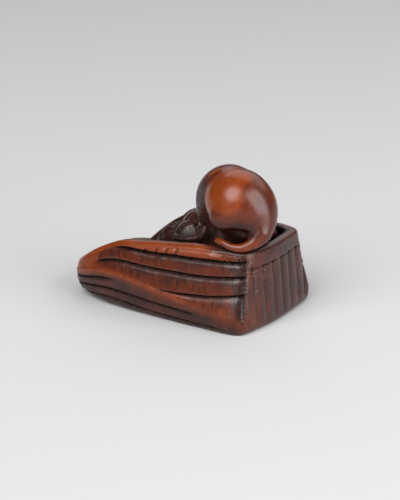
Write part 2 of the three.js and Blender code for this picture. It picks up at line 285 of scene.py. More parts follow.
TORSO = (
    [[11.1, -2.7, 28.3], [8.4, -0.2, 25.9], [7.5, -0.1, 23.0], [6.2, 0.0, 19.4], [5.2, -0.5, 16.8]],
    [5.8, 6.8, 6.1, 4.8, 4.2],
)
RUMP = ((15.0, -2.2, 23.6), (6.4, 6.6, 6.3))
FAR_HAUNCH = ((10.4, 3.2, 24), (6.2, 5.4, 6.2))
BELLY = ((10, -0.5, 15), (6.8, 6.2, 11.5))
CHEST = ((3, -2.6, 13.5), (4.2, 4.2, 9.2))
HEAD = ([[4.8, -2.2, 16.2], [1.7, -3.5, 15.9], [-0.4, -4.4, 16.0], [-2.0, -5.0, 15.9]], [3.9, 4.0, 3.7, 3.1])
SNOUT = ([[-2.6, -5.2, 15.5], [-3.6, -5.5, 15.3], [-4.9, -6.0, 14.5]], [2.3, 2.2, 1.3])
BROW = (
    [[-4.0, -6.1, 17.7], [-3.2, -6.6, 18.3], [-2.0, -6.85, 18.6], [-0.8, -6.95, 18.7]],
    [0.2, 0.3, 0.32, 0.2],
)
CHEEK_LINE = (
    [[-3.0, -7.8, 16.7], [-2.2, -7.75, 17.4], [-1.5, -7.6, 17.9], [-0.9, -7.4, 18.2]],
    [0.2, 0.3, 0.32, 0.25],
)
NEAR_FORELEG = (
    [[7.4, -7.5, 20.4], [6.9, -8.0, 19.0], [5.6, -8.6, 18.2], [3.4, -9.2, 17.7], [0.9, -9.4, 17.6]],
    [0.7, 0.8, 0.65, 0.6, 0.5],
)
FAR_HIND_FOOT = ([[13, 5.5, 20.5], [12.5, 8.6, 18.9], [8, 9.8, 18.5]], [2.6, 1.3, 0.8])
FAR_FORELEG = ([[5, 2, 19], [1.5, 6, 17.6], [-1.5, 9.6, 17.4]], [2.4, 1.2, 0.8])
TAIL = (
    [[17, 2, 18.5], [15.5, 7, 16.4], [10.5, 8.4, 15.2], [4, 8.2, 13.5], [-1.5, 7.9, 10.5], [-5, 6.6, 7.5]],
    [1.6, 1.3, 1.1, 1, 0.8, 0.6],
)
# Ears: base, tip, the way that they face, half width, thickness and depth of the hollow.
NEAR_EAR = ([5.6, -6.4, 18.6], [-0.3, -8.7, 17.4], [0.3, -0.91, 0.3], 3.3, 0.9, 0.8)
FAR_EAR = ([3.9, 1.0, 17.75], [-3.4, -1.3, 17.5], [0.26, -0.86, 0.43], 4.0, 0.85, 0.8)
EAR_TAPER = 0.1
EAR_HOLLOW_EDGE = (1.0, 0.6)
EAR_HOLLOW_SHIFT = 0.3
EAR_HOLLOW_LENGTH = 1.15
EAR_BACK_BELOW = -0.2

# How forms are grown together: size of the remesh's cells, and rounds of smoothing.
VOXEL = 0.22
BODY_MELT = (0.32, 24)
LEG_MELT = (0.24, 10)
HEAD_MELT = (0.24, 4)
BODY_AND_LEG_MELT = (VOXEL, 2)
SCOOPED_MELT = (VOXEL, 5)
RAT_MELT = (VOXEL, 3)
SOFTEN_ROUNDS = 70
SOFTEN_STEP = 0.6
LEAST_SOFTNESS = 0.03
SOFT_TOP = (27.5, 31.0)
SOFT_BACK = (9.5, 14.0)
SWELL_BALLS = 26
HAUNCH_BALLS = 40
FOOT_BALLS = 60
SWELL_SIDES = 32
BALL_SIDES = 48
LIMB_SIDES = 28
LIMB_STEPS = 40
CAP_RINGS = 6
PATH_SAMPLES = 60

# ---- cord holes ------------------------------------------------------------------------------------
CORD_HOLES_X = 1.0
CORD_HOLE_SPACING = 9.0
CORD_HOLE_RADIUS = 1.3
KNOT_HOLE_RADIUS = 1.8
CORD_TUNNEL_HEIGHT = 2.6
CORD_TUNNEL_START = -2
CORD_TUNNEL_BEND = 1
CORD_TUNNEL_SPLAY = 0.4

# ---- rat wear and grime, with painted shade and a painted highlight --------------------------------
# The leg's wear is laid out on the haunch's round face, to its right and up, in haunch radii.
FACE_RIGHT = (0.839, 0.545, 0.0)
FACE_UP = (-0.186, 0.287, 0.94)
UNWORN = 0.14
ON_SKIN = (0.7, 0.05)
NEAR_HALF = (4.0, 0.5)
HAUNCH_WEAR = 0.6
HAUNCH_WEAR_HEIGHT = (22.5, 26.4)
HAUNCH_WEAR_RIGHT = (0.95, 0.2)
# The pale face at the middle of the haunch is partly worn wood and partly a painted highlight.
PALE_WEAR_AND_HIGHLIGHT = 0.5
PALE_EDGE = (0.62, 0.2)
PALE_AT = (-0.32, 0.1)
PALE_SIZE = (0.9, 1.1)
ARC_WEAR = 0.98
ARC_INNER = (0.5, 0.75)
ARC_OUTER = (1.2, 0.97)
ARC_RIGHT = (0.35, -0.15)
ARC_FOOT = (-0.6, -0.15)
CROWN_WEAR = 0.85
CROWN_EDGE = (1.15, 0.35)
CROWN_AT = (0.02, 0.66)
CROWN_SIZE = (0.6, 0.36)
FOOT_WEAR = 0.7
FOOT_SKIN = (0.4, 0.1)
FOOT_WEAR_HEIGHT = (22.0, 20.2)
FOOT_WEAR_SIDE = (-7.0, -9.0)
BACK_OF_RAT_WEAR = 0.42
BACK_OF_RAT_HEIGHT = (27.5, 31.5)
RUMP_WEAR = 0.34
RUMP_RIGHT = (0.2, 0.6)
PATCH_WEAR = 1.25
SHOULDER_PATCH = (8.0, -4.4, 32.5)
SHOULDER_PATCH_WAY = (0.79, 0.205, 0.576)
SHOULDER_PATCH_LENGTH = 2.1
SHOULDER_PATCH_WIDTH = 0.8
SHOULDER_PATCH_EDGE = (1.25, 0.9)
# Dust in the hollow under the haunch, deepened as painted shade.
HOLLOW_GRIME_AND_SHADE = (0.85, (16.0, -9.6, 20.3), (5.2, 3.6, 2.4))  # strength, middle, reach
PAW_GRIME = (0.7, (7.5, -7.5, 18.6), (4.0, 3.0, 2.6))
CLEAN_SKIN = (0.0, 0.35)
HEAD_GRIME = 0.5
HEAD_BELOW = (21.5, 19.5)
HEAD_BEFORE = (8.5, 6.0)
TORSO_GRIME = 0.42
TORSO_BEFORE = (11.0, 8.0)
TORSO_BELOW = (30.0, 27.0)
TORSO_OFF_LEG = (0.1, 0.6)
NEAR_POINT_CORE = 0.35
SHELTER_SEED = 7
SHELTER_RAYS = 20
SHELTER_REACH = 4.0
SHELTER_SPREAD = 1.15
SHELTER_LIFT = 0.03
MOST_WEAR = 1.5

# ---- finish ----------------------------------------------------------------------------------------
STAIN = ("#2a1410", "#351a15")
RED_BROWN = ("#4c1d0b", "#592410")
ORANGE = ("#702b06", "#7c360c")
# Pale wood, also used as a painted highlight on the haunch's face.
PALE_WOOD_AND_HIGHLIGHT = "#84441f"
PORE = "#2a1410"
WEAVE_MARK = "#150d0b"
DUST = ("#15100e", "#2b2421")
# Near black: the dark stain in cuts, and painted shade in recesses and inside the basket.
CUT_DARK_AND_PAINTED_SHADE = "#120c0a"
PAPER = "#bababa"
PATCH_SIZE = 4.0
MOTTLE_SIZE = 0.9
PORE_SIZE = 0.5
MARK_SIZE = 0.42
MARK_STRETCH = (1.0, 0.35, 0.16)
GRIT_SIZE = 0.35
UNEVEN_WEAR = 0.09
GRITTY = 0.22
POLISH_ROUGHNESS = 0.28
BOXWOOD_IOR = 1.45
DUST_ROUGHNESS = 0.9
PAPER_ROUGHNESS = 0.95

# ---- studio sizes, in metres and degrees -----------------------------------------------------------
FLOOR_SIDE = 6.0
VIEW_AZIMUTH = 33.0
VIEW_ELEVATION = 20.0
VIEW_DISTANCE = 0.4
AIM = (0.0, 0.0, 0.014)
AIM_RIGHT = 0.001
AIM_DOWN = 0.0022
LENS = 129.3
SENSOR_WIDTH = 36.0
NEAREST_SEEN = 0.01
LIGHTS_TARGET = (0.0, 0.0, 0.018)
AIR_COLOUR = "#eef0f2"
AIR_STRENGTH = 0.07
# Lights: name, outline, azimuth, elevation, distance, width, height, watts.
LIGHTS = [
    ("front_left", "ELLIPSE", 2, 42, 1.0, 1.1, 1.15, 7.0),
    ("front_left_core", "ELLIPSE", -1, 41, 1.0, 0.75, 0.8, 7.0),
    ("back_overhead", "ELLIPSE", 192, 45, 1.4, 2.3, 1.5, 10.5),
    ("right_window", "RECTANGLE", 88, 21, 0.7, 0.62, 0.7, 7.3),
]


# ---- sums ------------------------------------------------------------------------------------------
def clamp01(t):
    return np.clip(t, 0.0, 1.0)


def mix(a, b, t):
    return a + (b - a) * t


def smooth(lo, hi, value):
    t = clamp01((value - lo) / (hi - lo))
    return t * t * (3 - 2 * t)


def hump(off, width):
    """1 in the middle, falling softly away: about a third at its width."""
    return np.exp(-((off / width) ** 2))


def through_values(values, t):
    """A smooth line through evenly spaced values, read at t from 0 to 1."""
    values = np.asarray(values, float)
    last = len(values) - 1
    i = np.minimum(np.floor(t * last).astype(int), last - 1)
    f = t * last - i
    if values.ndim > 1:
        f = f[..., None]
    a, b, c, d = values[np.maximum(i - 1, 0)], values[i], values[i + 1], values[np.minimum(i + 2, last)]
    return b + 0.5 * f * (c - a + f * (2 * a - 5 * b + 4 * c - d + f * (3 * (b - c) + d - a)))


def lattice_value(corners, seed):
    """A fixed value from -1 to 1 for each whole-numbered lattice point, scattered by large factors."""
    h = (corners * np.array([374761393, 668265263, 2147483647])).sum(1) + seed * 974634777
    h = (h ^ (h >> 13)) * 1274126177 & 0xFFFFFFFF
    return (h ^ (h >> 16)) % 65536 / 32768.0 - 1.0


def slow_noise(places, scale, seed):
    """Smooth noise from -1 to 1, set on a coarse lattice and read back between its points."""
    flat = places.reshape(-1, 3) / scale + 40.0 + seed * 3.17  # a start of its own for each seed
    low = np.floor(flat).astype(int)
    f = flat - low
    f = f * f * (3 - 2 * f)
    total = 0.0
    for corner in itertools.product((0, 1), repeat=3):
        weight = np.where(np.array(corner, bool), f, 1 - f).prod(1)
        total = total + lattice_value(low + np.array(corner), seed) * weight
    return total.reshape(places.shape[:-1])


# ---- meshes ----------------------------------------------------------------------------------------
def new_object(name, mesh):
    piece = bpy.data.objects.new(name, mesh)
    bpy.context.scene.collection.objects.link(piece)
    return piece


def finished_mesh(name, bm):
    mesh = bpy.data.meshes.new(name)
    bm.to_mesh(mesh)
    bm.free()
    return mesh


def closed_shell(name, places):
    """A closed skin over a grid of places: rows from pole to pole, columns once round."""
    rows, columns = places.shape[:2]
    bm = bmesh.new()
    bmesh.ops.create_grid(bm, x_segments=columns, y_segments=rows - 1, size=1)
    mesh = finished_mesh(name, bm)
    at = vertex_places(mesh)
    i = np.rint((at[:, 0] + 1) / 2 * columns).astype(int) % columns
    j = np.rint((at[:, 1] + 1) / 2 * (rows - 1)).astype(int)
    set_places(mesh, places[j, i])
    bm = bmesh.new()
    bm.from_mesh(mesh)
    bmesh.ops.remove_doubles(bm, verts=bm.verts, dist=MERGE_REACH)
    bmesh.ops.recalc_face_normals(bm, faces=bm.faces)
    if bm.calc_volume(signed=True) < 0:
        bmesh.ops.reverse_faces(bm, faces=bm.faces)
    bm.to_mesh(mesh)
    bm.free()
    return new_object(name, mesh)


def with_modifiers(piece, *steps):
    """Applies modifiers in order: each is a type and its settings."""
    for kind, settings in steps:
        modifier = piece.modifiers.new(kind, kind)
        for key, value in settings.items():
            setattr(modifier, key, value)
    bpy.context.view_layer.update()
    shaped = bpy.data.meshes.new_from_object(piece.evaluated_get(bpy.context.evaluated_depsgraph_get()))
    piece.modifiers.clear()
    old = piece.data
    piece.data = shaped
    bpy.data.meshes.remove(old)
    return piece


def boolean(operation, other):
    return ("BOOLEAN", {"operation": operation, "object": other, "solver": "MANIFOLD"})


def triangle_count(mesh):
    return sum(len(face.vertices) - 2 for face in mesh.polygons)


def thinned(piece, triangles):
    return with_modifiers(piece, ("DECIMATE", {"ratio": triangles / triangle_count(piece.data)}))


def joined(name, pieces):
    bm = bmesh.new()
    for piece in pieces:
        bm.from_mesh(piece.data)
        bpy.data.objects.remove(piece)
    return new_object(name, finished_mesh(name, bm))


def vertex_places(mesh):
    places = np.empty(len(mesh.vertices) * 3, np.float32)
    mesh.vertices.foreach_get("co", places)
    return places.reshape(-1, 3).astype(float)


def vertex_normals(mesh):
    normals = np.empty(len(mesh.vertices) * 3, np.float32)
    mesh.vertex_normals.foreach_get("vector", normals)
    return normals.reshape(-1, 3).astype(float)


def set_places(mesh, places):
    mesh.vertices.foreach_set("co", places.astype(np.float32).ravel())
    mesh.update()


# ---- basket outline --------------------------------------------------------------------------------
def plan_direction(angle):
    c, s = np.cos(angle), np.sin(angle)
    power = np.where(c > 0, BACK_SQUARENESS, FRONT_SQUARENESS)
    reach = (np.abs(c) ** power + np.abs(s) ** power) ** (-1 / power)
    return c * reach, s * reach


def plan_point(along, across, side_inset=0.0, end_inset=0.0):
    bow = mix(BACK_BOW, FAR_BACK_BOW, smooth(0, 1, across)) * across**2
    reach = np.where(along > 0, BACK_REACH - bow, FRONT_REACH)
    return along * (reach - end_inset), across * (HALF_WIDTH - SIDE_BOW * along**2 - side_inset)


def station(x):
    return clamp01((x + FRONT_REACH) / (FRONT_REACH + BACK_REACH))


def keel_height(x):
    return KEEL_RISE * (1 - smooth(0, KEEL_FLAT_FROM, station(x))) ** KEEL_POWER


def rim_height(x, across):
    lag = FAR_WALL_LAG * smooth(*FAR_SIDE, across)
    climb = clamp01((x + FRONT_REACH - lag) / (WALL_FULL_AT + FRONT_REACH - lag))
    dip = RIM_DIP * smooth(*DIP_STARTS, x) * (1 - smooth(*DIP_ENDS, x))
    return mix(LIP_HEIGHT, RIM_HEIGHT, 1 - (1 - climb) ** WALL_CLIMB_POWER) - dip


def girth_angles():
    """Angles round the plan, closer together along the woven sides and where the outline turns."""
    fine = np.linspace(0, FULL_TURN, GIRTH_SAMPLES)
    x, y = plan_point(*plan_direction(fine))
    dx, dy = np.diff(x), np.diff(y)
    turn = np.abs(np.diff(np.unwrap(np.arctan2(dy, dx)), append=0.0))
    turn[-1] = 0.0
    on_side = smooth(*WOVEN_SIDES, np.abs(plan_direction(fine[1:])[1]))
    weight = np.hypot(dx, dy) * mix(END_DENSITY, 1.0, on_side) + CORNER_WEIGHT * turn
    measure = np.concatenate([[0], np.cumsum(weight)])
    return np.interp(np.arange(COLUMNS) / COLUMNS * measure[-1], measure, fine)


def basket_walls():
    """What the basket's rows share, at each place round its outline."""
    walls = SimpleNamespace()
    walls.along, walls.across = plan_direction(girth_angles())
    walls.x, _ = plan_point(walls.along, walls.across)
    walls.near = walls.across < 0
    walls.station = station(walls.x)
    walls.keel = keel_height(walls.x)
    walls.rim = rim_height(walls.x, walls.across)
    walls.shoulder = walls.rim - RIM_ROUNDNESS * RIM_RADIUS
    walls.on_back = smooth(*BACK_FACE, walls.along)
    walls.on_side = 1 - walls.on_back
    highest = walls.shoulder - EDGE_CLEARANCE
    walls.lines = [walls.keel]
    for k, edge in enumerate(WEAVE_EDGES):
        most = highest - EDGE_GAP * (len(WEAVE_EDGES) - k)
        walls.lines.append(np.minimum(through_values(edge["heights"], walls.station), most))
    walls.lines.append(walls.shoulder)
    walls.fold = walls.lines[FOLD + 1]
    walls.undercut = mix(UNDERCUT_FRONT, UNDERCUT_BACK, walls.station)
    height = clamp01((walls.rim - walls.fold) / RIM_HEIGHT)
    walls.side_lean, walls.back_lean = SIDE_LEAN * height, BACK_LEAN * height
    return walls


def wall_place(walls, z):
    """Places on the outer wall at height z: tucked in below the fold, leaning in above it."""
    below = clamp01((walls.fold - z) / (walls.fold - walls.keel))
    above = clamp01((z - walls.fold) / (walls.shoulder - walls.fold))
    tuck = walls.undercut * (1 - (1 - below**UNDERCUT_POWER) ** (1 / UNDERCUT_POWER))
    side_inset, end_inset = walls.side_lean * above + tuck, walls.back_lean * above + tuck
    x, y = plan_point(walls.along, walls.across, side_inset, end_inset)
    return np.stack([x, y, z], -1)


# ---- basket rows -----------------------------------------------------------------------------------
def new_row(walls, place, out=0.0, wear=0.0, dirt=0.0, dark_cut_and_shade=0.0):
    """One row round the basket: its places, how far it stands out, and its finish, painted shade included."""
    none = np.zeros_like(walls.x)
    return SimpleNamespace(
        place=place, out=out + none, wear=wear + none, dirt=dirt + none, woven=none, dark_cut_and_shade=dark_cut_and_shade + none
    )


def rib_profile(y):
    """Groove depth from 0 to 1 between the splints that run front to back, and the place across one."""
    f = (y + FIRST_RIB) / RIB_PITCH
    f = f - np.floor(f)
    from_groove = np.minimum(f, 1 - f) * RIB_PITCH
    return hump(from_groove, RIB_GROOVE_WIDTH), f


def tick_cuts(x, seed, share):
    """Depth from 0 to 1 of the short cuts that hang from a band's upper edge."""
    place = (x + TICKS_START) / TICK_PITCH
    k = np.floor(place).astype(int)
    random = np.random.default_rng(seed)
    shift = random.uniform(-TICK_WANDER, TICK_WANDER, TICK_COUNT)
    reach = random.uniform(*TICK_REACH, TICK_COUNT)
    off = (place - k - 0.5 - shift[k % TICK_COUNT]) * TICK_PITCH
    foot = 1 - reach[k % TICK_COUNT]
    return hump(off, TICK_WIDTH) * smooth(foot - TICK_FADE, foot + TICK_FADE, share)


def roll_share(walls):
    """How far the rim stands out as a roll: it grows in from the lip and dies away under the hind foot."""
    dying = 1 - ROLL_LOSS * smooth(*ROLL_DIES, walls.x)
    return smooth(*ROLL_GROWS, walls.x) * dying * walls.on_side


def roll_fall(rise, tall):
    """How far the roll's round face falls back, by its height above its fullest place."""
    reach = (1 - ROLL_FULL_AT) * tall + RIM_ROUNDNESS * RIM_RADIUS
    return (RIM_RADIUS + ROLL_SWELL) * (1 - np.sqrt(1 - clamp01(rise / reach) ** 2))


def lashing_cuts(x, share):
    """The notches of the lashings across the rim's roll, wide below and narrow above."""
    cut = np.zeros_like(x)
    for middle, reach in zip(LASHINGS, LASHING_REACH):
        width = mix(*LASHING_WIDTH, clamp01(share / reach))
        notch = hump(x - middle - LASHING_SLANT * share, width)
        cut = np.maximum(cut, notch * (1 - smooth(reach - LASHING_FADE, reach, share)))
    return cut


def sole_rows(walls):
    """The underside, from its middle out to the keel line."""
    sole = wall_place(walls, walls.keel)
    for s in np.linspace(0, 1, UNDER_ROWS, endpoint=False) ** UNDER_ROW_POWER:
        x, y = sole[:, 0] * s, sole[:, 1] * s
        groove, _ = rib_profile(y)
        out = -SOLE_GROOVE_DEPTH * groove * smooth(0, CENTRE_FADE, s)
        yield new_row(walls, np.stack([x, y, keel_height(x)], -1), out, wear=SOLE_WEAR)


def wall_rows(walls):
    """The outer wall, band by band from the keel line to the rim's shoulder."""
    for band, row_count in enumerate(BAND_ROWS):
        low, high = walls.lines[band], walls.lines[band + 1]
        tall = np.maximum(high - low, LEAST_BAND)
        shares = np.linspace(0, 1, row_count)
        if row_count > FEW_ROWS:
            shares = shares - ROW_CROWDING * np.sin(FULL_TURN * shares) / FULL_TURN
        first = shares[0] if band == 0 else np.minimum(EDGE_ROW / tall, EDGE_ROW_SHARE)
        for share in [first, *shares[1:]]:
            yield wall_row(walls, band, share, low, tall)


def wall_row(walls, band, share, low, tall):
    z = low + share * tall
    row = new_row(walls, wall_place(walls, z))
    row.band, row.share, row.tall, row.z = band, share, tall, z
    if band == TOP_BAND:
        swell_rim(walls, row)
    elif WEAVE_EDGES[band]["step"] > 0:
        cut_weave(walls, row)
    wear_sides(walls, row)
    cut_back_splints(walls, row)
    cut_corner_posts(walls, row)
    row.wear = np.maximum(row.wear, 0)
    in_weave = smooth(*WEAVE_FROM, walls.x) * smooth(*WEAVE_ABOVE_EDGE, share)
    row.woven = walls.on_side * in_weave * (WOVEN if FOLD < band < TOP_BAND else PLAIN)
    return row


def cut_weave(walls, row):
    """The bevelled step and groove under a band's upper edge, and the ticks that hang from it."""
    edge = WEAVE_EDGES[row.band]
    fade_in, full, wane, gone = edge["shows"]
    shows = smooth(fade_in, full, walls.x) * (1 - smooth(wane, gone, walls.x)) * walls.on_side
    below_edge = (1 - row.share) * row.tall
    bevel = 1 - smooth(0.0, np.minimum(STEP_BEVEL, STEP_BEVEL_SHARE * row.tall), below_edge)
    near_ticks = tick_cuts(walls.x, row.band, row.share)
    far_ticks = tick_cuts(walls.x, FAR_TICK_SEED + row.band, row.share)
    ticks = np.where(walls.near, near_ticks, far_ticks)
    row.out -= edge["step"] * shows * bevel
    row.out -= STEP_GROOVE_DEPTH * shows * hump(below_edge, STEP_GROOVE_WIDTH)
    row.out -= TICK_DEPTH * ticks * shows * (1 - TICK_EDGE_LOSS * hump(below_edge, TICK_EDGE_WIDTH))
    row.dirt += shows * (STEP_DIRT * bevel + EDGE_DIRT * hump(below_edge, EDGE_DIRT_WIDTH))
    row.dark_cut_and_shade = shows * np.maximum(TICK_DARK * ticks, hump(below_edge, EDGE_DARK_WIDTH))
    row.wear -= STEP_WEAR_LOSS * shows * smooth(*STEP_WEAR_LOSS_FROM, row.share)


def swell_rim(walls, row):
    """The rim's roll on the long walls, with its lashings."""
    fullness = ROLL_SWELL * np.sqrt(1 - (1 - clamp01(row.share / ROLL_FULL_AT)) ** 2)
    fall = roll_fall((row.share - ROLL_FULL_AT) * row.tall, row.tall)
    row.out += roll_share(walls) * (fullness - fall)
    cut = lashing_cuts(walls.x, row.share) * walls.on_side
    row.out -= LASHING_DEPTH * cut
    row.dark_cut_and_shade = cut
    # Dirt and painted shadow of the hind foot on the roll below it.
    row.dirt += ROLL_FOOT_DIRT_AND_SHADOW * smooth(*UNDER_HIND_FOOT, walls.x) * walls.near


def wear_sides(walls, row):
    """Handling rubs the rim, the long fold and the lip most."""
    fold_height = through_values(WEAVE_EDGES[FOLD]["heights"], walls.station)
    from_fold = row.z - fold_height
    on_fold = hump(from_fold, mix(*FOLD_WEAR_WIDTH, walls.station))
    fold_wear = on_fold * mix(*FOLD_WEAR, smooth(*FOLD_WEAR_CHANGE, walls.x))
    at_tip = smooth(*TIP_WEAR_FROM, walls.x) * smooth(*TIP_WEAR_ABOVE_FOLD, from_fold)
    tip_wear = TIP_WEAR * at_tip * (1 - clamp01(row.dirt))
    row.wear += walls.on_side * BAND_WEAR[row.band]
    row.wear = np.maximum.reduce([row.wear, walls.on_side * fold_wear, walls.on_side * tip_wear])


def cut_back_splints(walls, row):
    """The back wall's upright splints with their stitches, under a plain band at the rim."""
    y, z = row.place[:, 1], row.z
    groove, across_rib = rib_profile(y)
    below_band = 1 - smooth(BACK_BAND_FROM - BACK_BAND_FADE, BACK_BAND_FROM + BACK_BAND_FADE, z)
    in_ribs = walls.on_back * below_band * smooth(*RIBS_START, z)
    round_face = np.sqrt(np.clip(1 - (2 * across_rib - 1) ** 2, 0, 1))
    between_corners = walls.on_back * smooth(*BACK_CORNERS, np.abs(walls.across))
    every_other = math.pi * np.floor((y + FIRST_RIB) / RIB_PITCH)
    stitch = (0.5 + 0.5 * np.cos(FULL_TURN * z / STITCH_PITCH + every_other)) ** 3
    row.out += in_ribs * (RIB_RISE * round_face - RIB_RISE - BACK_GROOVE_DEPTH * groove)
    row.out -= BACK_BAND_STEP * between_corners * below_band
    row.out -= STITCH_DEPTH * in_ribs * stitch
    row.dirt += in_ribs * (RIB_DIRT * groove + STITCH_DIRT * stitch)
    under_band = hump(z - BACK_BAND_FROM + BAND_STEP_DIRT_BELOW, BAND_STEP_DIRT_WIDTH)
    row.dirt += BAND_STEP_DIRT * between_corners * under_band
    row.wear += walls.on_back * (BACK_WEAR + BACK_NEAR_WEAR * smooth(*BACK_NEAR_FROM, y))


def cut_corner_posts(walls, row):
    """The upright cut where each side meets its corner post, which keeps its stain and some dirt; high on the
    near side by the corner, under the hind foot, dirt and painted shadow.
    """
    at_corner = np.abs(walls.across) > CORNER_CUT_SIDE
    upright = (1 - smooth(*CORNER_CUT_TOP, row.z)) * smooth(*CORNER_CUT_FOOT, row.z)
    cut = hump(walls.x - CORNER_CUT_X, CORNER_CUT_WIDTH) * at_corner * upright
    row.out -= CORNER_CUT_DEPTH * cut
    row.dirt += CORNER_CUT_DIRT * cut
    unrubbed = smooth(*CORNER_WEAR_FROM, walls.x) * smooth(*CORNER_WEAR_HEIGHT, row.z)
    row.wear -= CORNER_WEAR_LOSS * unrubbed * walls.on_side
    # High on the near side by the corner, under the hind foot: dirt and painted shadow of the foot.
    high_corner = smooth(*NEAR_CORNER_HEIGHT, row.z) * smooth(*NEAR_CORNER_FROM, walls.x)
    row.dirt += NEAR_CORNER_DIRT_AND_SHADOW * high_corner * walls.on_side * walls.near


def rim_rows(walls):
    """The rim, from its shoulder outside over the top to its shoulder inside."""
    tall = walls.shoulder - walls.lines[-2]
    share = roll_share(walls)
    # Under the hind foot the rim is left unrubbed and dirty: dirt and painted shadow of the foot.
    under_foot = smooth(*UNDER_HIND_FOOT, walls.x) * smooth(*NEAR_SIDE, walls.across)
    unrubbed = (1 - BACK_RIM_LOSS * walls.on_back) * (1 - UNDER_FOOT_WEAR_LOSS_AND_SHADOW * under_foot)
    for turn in np.linspace(0, math.pi, RIM_ROWS)[1:]:
        inset = RIM_RADIUS * (1 - math.cos(turn))
        rise = RIM_ROUNDNESS * RIM_RADIUS * math.sin(turn)
        side_inset = inset
        if turn < math.pi / 2:
            face = roll_fall((1 - ROLL_FULL_AT) * tall + rise, tall) - ROLL_SWELL
            side_inset = mix(inset, face, share)
        x, y = plan_point(walls.along, walls.across, walls.side_lean + side_inset, walls.back_lean + inset)
        # The rim's inner face is darkened: painted shade.
        inside = smooth(*INNER_RIM_TURN, turn)
        yield new_row(
            walls,
            np.stack([x, y, walls.shoulder + rise], -1),
            wear=RIM_WEAR * smooth(*OUTER_RIM_TURN, turn) * unrubbed,
            dirt=RIM_DIRT * np.maximum(inside, under_foot),
            dark_cut_and_shade=INNER_RIM_PAINTED_SHADE * inside,
        )


def inside_rows(walls):
    """The inner walls, laid in broad slats and painted near black as shade, then the floor from its edge to
    its middle.
    """
    floor = np.minimum(FLOOR_TOP, walls.rim - FLOOR_BELOW_RIM)
    low_floor = min(FLOOR_TOP, LIP_HEIGHT - FLOOR_BELOW_RIM)
    half_lean = 0.5 * walls.side_lean
    foot_x, foot_y = plan_point(walls.along, walls.across, half_lean + WALL, WALL)
    rim_x, rim_y = plan_point(walls.along, walls.across, walls.side_lean + WALL, walls.back_lean + WALL)
    for s in np.linspace(0, 1, INSIDE_ROWS)[1:]:
        z = mix(walls.shoulder, floor, s**INSIDE_SLOPE_POWER)
        slats = np.cos(FULL_TURN * z / INSIDE_SLAT_PITCH)
        out = INSIDE_SLAT_DEPTH * slats * math.sin(math.pi * s)
        dirt = INSIDE_DIRT + SLAT_DIRT * (slats < SLAT_DIRT_BELOW)
        place = np.stack([mix(rim_x, foot_x, s), mix(rim_y, foot_y, s), z], -1)
        yield new_row(walls, place, out, dirt=dirt, dark_cut_and_shade=INSIDE_PAINTED_SHADE)
    for s in np.linspace(1, 0, FLOOR_ROWS)[1:]:
        z = mix(floor, low_floor, clamp01((1 - s) / FLOOR_CORNER))
        groove, _ = rib_profile(foot_y * s)
        out = -FLOOR_GROOVE_DEPTH * groove * smooth(0, CENTRE_FADE, s)
        dirt = FLOOR_DIRT + FLOOR_GROOVE_DIRT * groove
        yield new_row(walls, np.stack([foot_x * s, foot_y * s, z], -1), out, dirt=dirt)


def grid_normals(places):
    round_way = np.roll(places, -1, 1) - np.roll(places, 1, 1)
    up_way = np.gradient(places, axis=0)
    normal = np.cross(round_way, up_way)
    return normal / np.maximum(np.linalg.norm(normal, axis=-1, keepdims=True), 1e-9)


def basket_piece():
    """The basket with its weave cut in, and the places and finish that its skin was made from."""
    walls = basket_walls()
    rows = [*sole_rows(walls), *wall_rows(walls), *rim_rows(walls), *inside_rows(walls)]
    places = np.stack([row.place for row in rows])
    places[0] = places[0].mean(0)
    places[-1] = places[-1].mean(0)
    relief = np.stack([row.out for row in rows])
    for depth, size, seed in HAND_CUT:
        relief = relief + depth * slow_noise(places, size, seed)
    formed = places + grid_normals(places) * relief[..., None]
    formed[0], formed[-1] = places[0], places[-1]
    finish = np.stack([np.stack([row.wear, row.dirt, row.woven, row.dark_cut_and_shade], -1) for row in rows])
    return closed_shell("basket", formed), formed.reshape(-1, 3), finish.reshape(-1, 4)


# ---- rat -------------------------------------------------------------------------------------------
def ball(centre, radii, turn=(0, 0, 0), detail=BALL_SIDES):
    bm = bmesh.new()
    pose = Matrix.LocRotScale(Vector(centre), Euler(turn), Vector(radii))
    bmesh.ops.create_uvsphere(bm, u_segments=detail, v_segments=detail // 2, radius=1, matrix=pose)
    return new_object("ball", finished_mesh("ball", bm))


def leaf(base, tip, facing, half_width, thickness, cup):
    """A flat ear from base to tip, hollowed on the side that it faces."""
    base, tip, facing = np.array(base, float), np.array(tip, float), np.array(facing, float)
    along = (tip - base) / 2
    facing -= along * np.dot(facing, along) / np.dot(along, along)
    facing /= np.linalg.norm(facing)
    side = np.cross(facing, along / np.linalg.norm(along))
    piece = ball((0, 0, 0), (1, 1, 1))
    lengthwise, sideways, out = vertex_places(piece.data).T
    from_hollow = np.hypot((lengthwise + EAR_HOLLOW_SHIFT) / EAR_HOLLOW_LENGTH, sideways)
    hollow = smooth(*EAR_HOLLOW_EDGE, from_hollow) * (out > EAR_BACK_BELOW)
    wide = half_width * (1 - EAR_TAPER * lengthwise)
    places = (base + tip) / 2 + np.outer(lengthwise, along)
    places += np.outer(sideways * wide, side) + np.outer(out * thickness - cup * hollow, facing)
    set_places(piece.data, places)
    return piece


